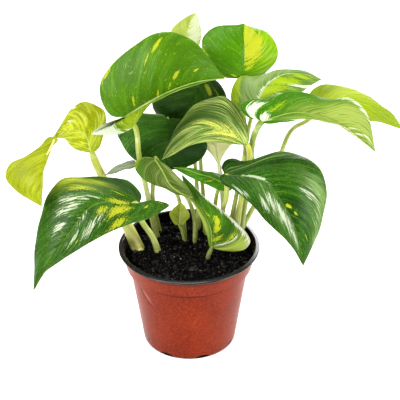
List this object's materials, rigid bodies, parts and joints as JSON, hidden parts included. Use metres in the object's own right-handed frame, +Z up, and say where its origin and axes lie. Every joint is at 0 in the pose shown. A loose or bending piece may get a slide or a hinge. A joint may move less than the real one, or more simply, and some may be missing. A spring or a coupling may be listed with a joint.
{
  "type": "potted pothos",
  "caption": "Leafy golden pothos with large heart-shaped variegated leaves on upright stalks, growing in dark soil in a tapered plastic nursery pot.",
  "frame": {"origin": "centre of the pot's flat base, on the surface it stands on", "axes": "+Z up; the pot's front, which the picture shows, looks along -Y; +X is to the right as seen from the front"},
  "size_m": [0.3303, 0.1247, 0.2753],
  "materials": {
    "pot": "satin terracotta-coloured plastic, blackish inside",
    "soil": "moist dark potting soil with bark and fibre",
    "leaf_upper_left": "smooth glossy green leaf with a few yellow streaks",
    "leaf_upper_right": "smooth glossy leaf, half green and half yellow",
    "leaf_back": "smooth yellow-green leaf, half cream",
    "leaf_shaded_upper": "smooth dark green leaf",
    "leaf_shaded_lower": "smooth dark green leaf with pale fine veins",
    "leaf_striped": "smooth leaf striped yellow and green along its veins",
    "leaf_cream": "smooth pale cream leaf",
    "leaf_right_upper": "smooth glossy yellow-green leaf with a white margin",
    "leaf_right": "smooth glossy leaf, green, yellow-green and white",
    "leaf_far_right": "smooth chartreuse leaf",
    "leaf_olive": "matt olive leaf underside with a pale rib",
    "leaf_front": "smooth green leaf with yellow patches and pale margins",
    "leaf_front_right": "smooth glossy green leaf with white streaks",
    "leaf_narrow": "smooth glossy green leaf",
    "leaf_front_left": "smooth glossy green leaf with a yellow patch and white streaks",
    "leaf_far_left": "smooth chartreuse leaf, folded over",
    "leaf_thin": "smooth grey-green narrow leaf",
    "leaf_bud": "smooth pale green young leaf, still half rolled"
  },
  "bodies": {
    "root": {"pot": "pot", "soil": "soil", "leaf_upper_left": "leaf_upper_left", "leaf_upper_right": "leaf_upper_right", "leaf_back": "leaf_back", "leaf_shaded_upper": "leaf_shaded_upper", "leaf_shaded_lower": "leaf_shaded_lower", "leaf_striped": "leaf_striped", "leaf_cream": "leaf_cream", "leaf_right_upper": "leaf_right_upper", "leaf_right": "leaf_right", "leaf_far_right": "leaf_far_right", "leaf_olive": "leaf_olive", "leaf_front": "leaf_front", "leaf_front_right": "leaf_front_right", "leaf_narrow": "leaf_narrow", "leaf_front_left": "leaf_front_left", "leaf_far_left": "leaf_far_left", "leaf_thin": "leaf_thin", "leaf_bud": "leaf_bud"}
  },
  "joints": []
}
